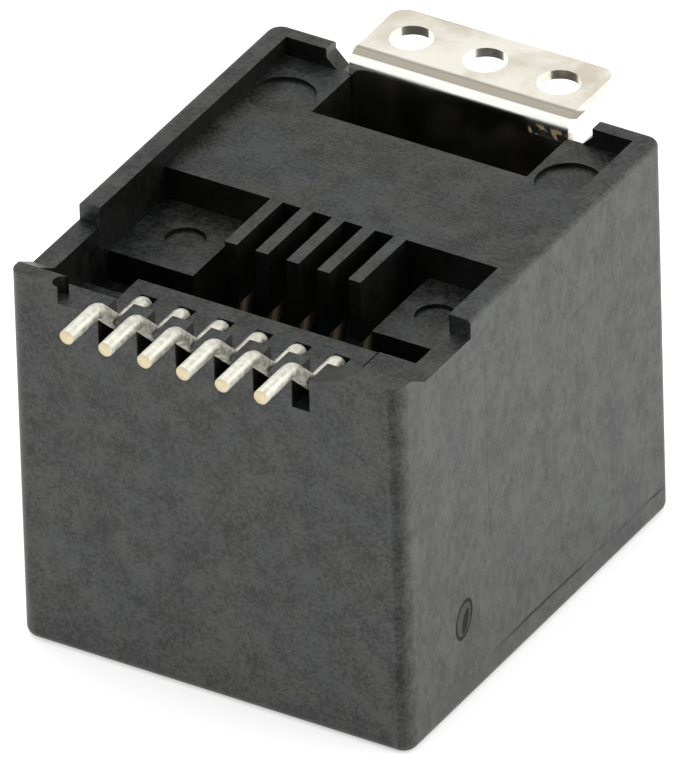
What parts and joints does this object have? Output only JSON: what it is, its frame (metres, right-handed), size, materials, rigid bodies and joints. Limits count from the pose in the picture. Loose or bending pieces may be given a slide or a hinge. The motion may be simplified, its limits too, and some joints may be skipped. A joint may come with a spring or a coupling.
{
  "type": "modular connector",
  "caption": "Vertical surface-mount modular jack with round spring contacts, gull-wing solder feet and a solder hold-down tab.",
  "frame": {"origin": "centre of the whole footprint, feet and tab included, on the plug face that it stands on", "axes": "+Z towards the circuit board side, +Y from the solder feet to the solder tab, +X along the row of contacts"},
  "size_m": [0.0128, 0.019, 0.0126],
  "materials": {
    "black_plastic": "moulded, glass-filled",
    "tinned_wire": "matt tin plate",
    "tinned_sheet": "bright tin plate"
  },
  "bodies": {
    "root": {"housing": "black_plastic", "contact_carrier": "black_plastic", "contact_1": "tinned_wire", "contact_2": "tinned_wire", "contact_3": "tinned_wire", "contact_4": "tinned_wire", "contact_5": "tinned_wire", "contact_6": "tinned_wire", "solder_tab": "tinned_sheet"}
  },
  "joints": []
}
